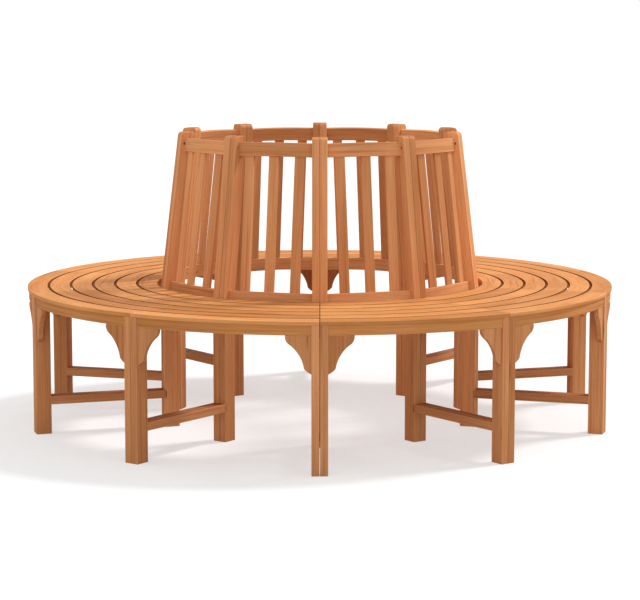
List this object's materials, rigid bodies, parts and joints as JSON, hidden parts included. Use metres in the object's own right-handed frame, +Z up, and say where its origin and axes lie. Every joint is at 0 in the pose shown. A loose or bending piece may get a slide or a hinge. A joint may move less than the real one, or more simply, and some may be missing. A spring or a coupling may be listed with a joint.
{
  "type": "tree bench",
  "caption": "Round slatted wooden bench that rings a tree trunk, with a raked slatted back, doubled legs, a curved apron and scroll-cut corner brackets.",
  "frame": {"origin": "on the floor at the centre of the round, on the trunk's axis", "axes": "+Z up, -Y to the front joint where the two half-rounds meet, +X to the right seen from the front"},
  "size_m": [2.004, 2.004, 0.999],
  "materials": {
    "seat_wood": "oiled teak, satin",
    "back_wood": "oiled teak, satin",
    "leg_wood": "oiled teak, satin",
    "steel": "plain stainless"
  },
  "bodies": {
    "root": {"joint_01_outer_legs_and_corbels": "leg_wood", "joint_01_back_legs": "back_wood", "joint_01_arms_and_stretchers": "leg_wood", "bay_01_seat_slats_and_apron": "seat_wood", "bay_01_back_panel": "back_wood", "joint_02_outer_legs_and_corbels": "leg_wood", "joint_02_back_legs": "back_wood", "joint_02_arms_and_stretchers": "leg_wood", "bay_02_seat_slats_and_apron": "seat_wood", "bay_02_back_panel": "back_wood", "joint_03_outer_legs_and_corbels": "leg_wood", "joint_03_back_legs": "back_wood", "joint_03_arms_and_stretchers": "leg_wood", "bay_03_seat_slats_and_apron": "seat_wood", "bay_03_back_panel": "back_wood", "joint_04_outer_legs_and_corbels": "leg_wood", "joint_04_back_legs": "back_wood", "joint_04_arms_and_stretchers": "leg_wood", "bay_04_seat_slats_and_apron": "seat_wood", "bay_04_back_panel": "back_wood", "joint_05_outer_legs_and_corbels": "leg_wood", "joint_05_back_legs": "back_wood", "joint_05_arms_and_stretchers": "leg_wood", "bay_05_seat_slats_and_apron": "seat_wood", "bay_05_back_panel": "back_wood", "joint_06_outer_legs_and_corbels": "leg_wood", "joint_06_back_legs": "back_wood", "joint_06_arms_and_stretchers": "leg_wood", "bay_06_seat_slats_and_apron": "seat_wood", "bay_06_back_panel": "back_wood", "joint_07_outer_legs_and_corbels": "leg_wood", "joint_07_back_legs": "back_wood", "joint_07_arms_and_stretchers": "leg_wood", "bay_07_seat_slats_and_apron": "seat_wood", "bay_07_back_panel": "back_wood", "joint_08_outer_legs_and_corbels": "leg_wood", "joint_08_back_legs": "back_wood", "joint_08_arms_and_stretchers": "leg_wood", "bay_08_seat_slats_and_apron": "seat_wood", "bay_08_back_panel": "back_wood", "joint_09_outer_legs_and_corbels": "leg_wood", "joint_09_back_legs": "back_wood", "joint_09_arms_and_stretchers": "leg_wood", "bay_09_seat_slats_and_apron": "seat_wood", "bay_09_back_panel": "back_wood", "joint_10_outer_legs_and_corbels": "leg_wood", "joint_10_back_legs": "back_wood", "joint_10_arms_and_stretchers": "leg_wood", "bay_10_seat_slats_and_apron": "seat_wood", "bay_10_back_panel": "back_wood", "post_bolts": "steel", "post_sleeve_nuts": "steel", "leg_bolts": "steel", "leg_sleeve_nuts": "steel", "arm_bolts": "steel", "arm_sleeve_nuts": "steel", "seat_slat_screws": "steel"}
  },
  "joints": []
}
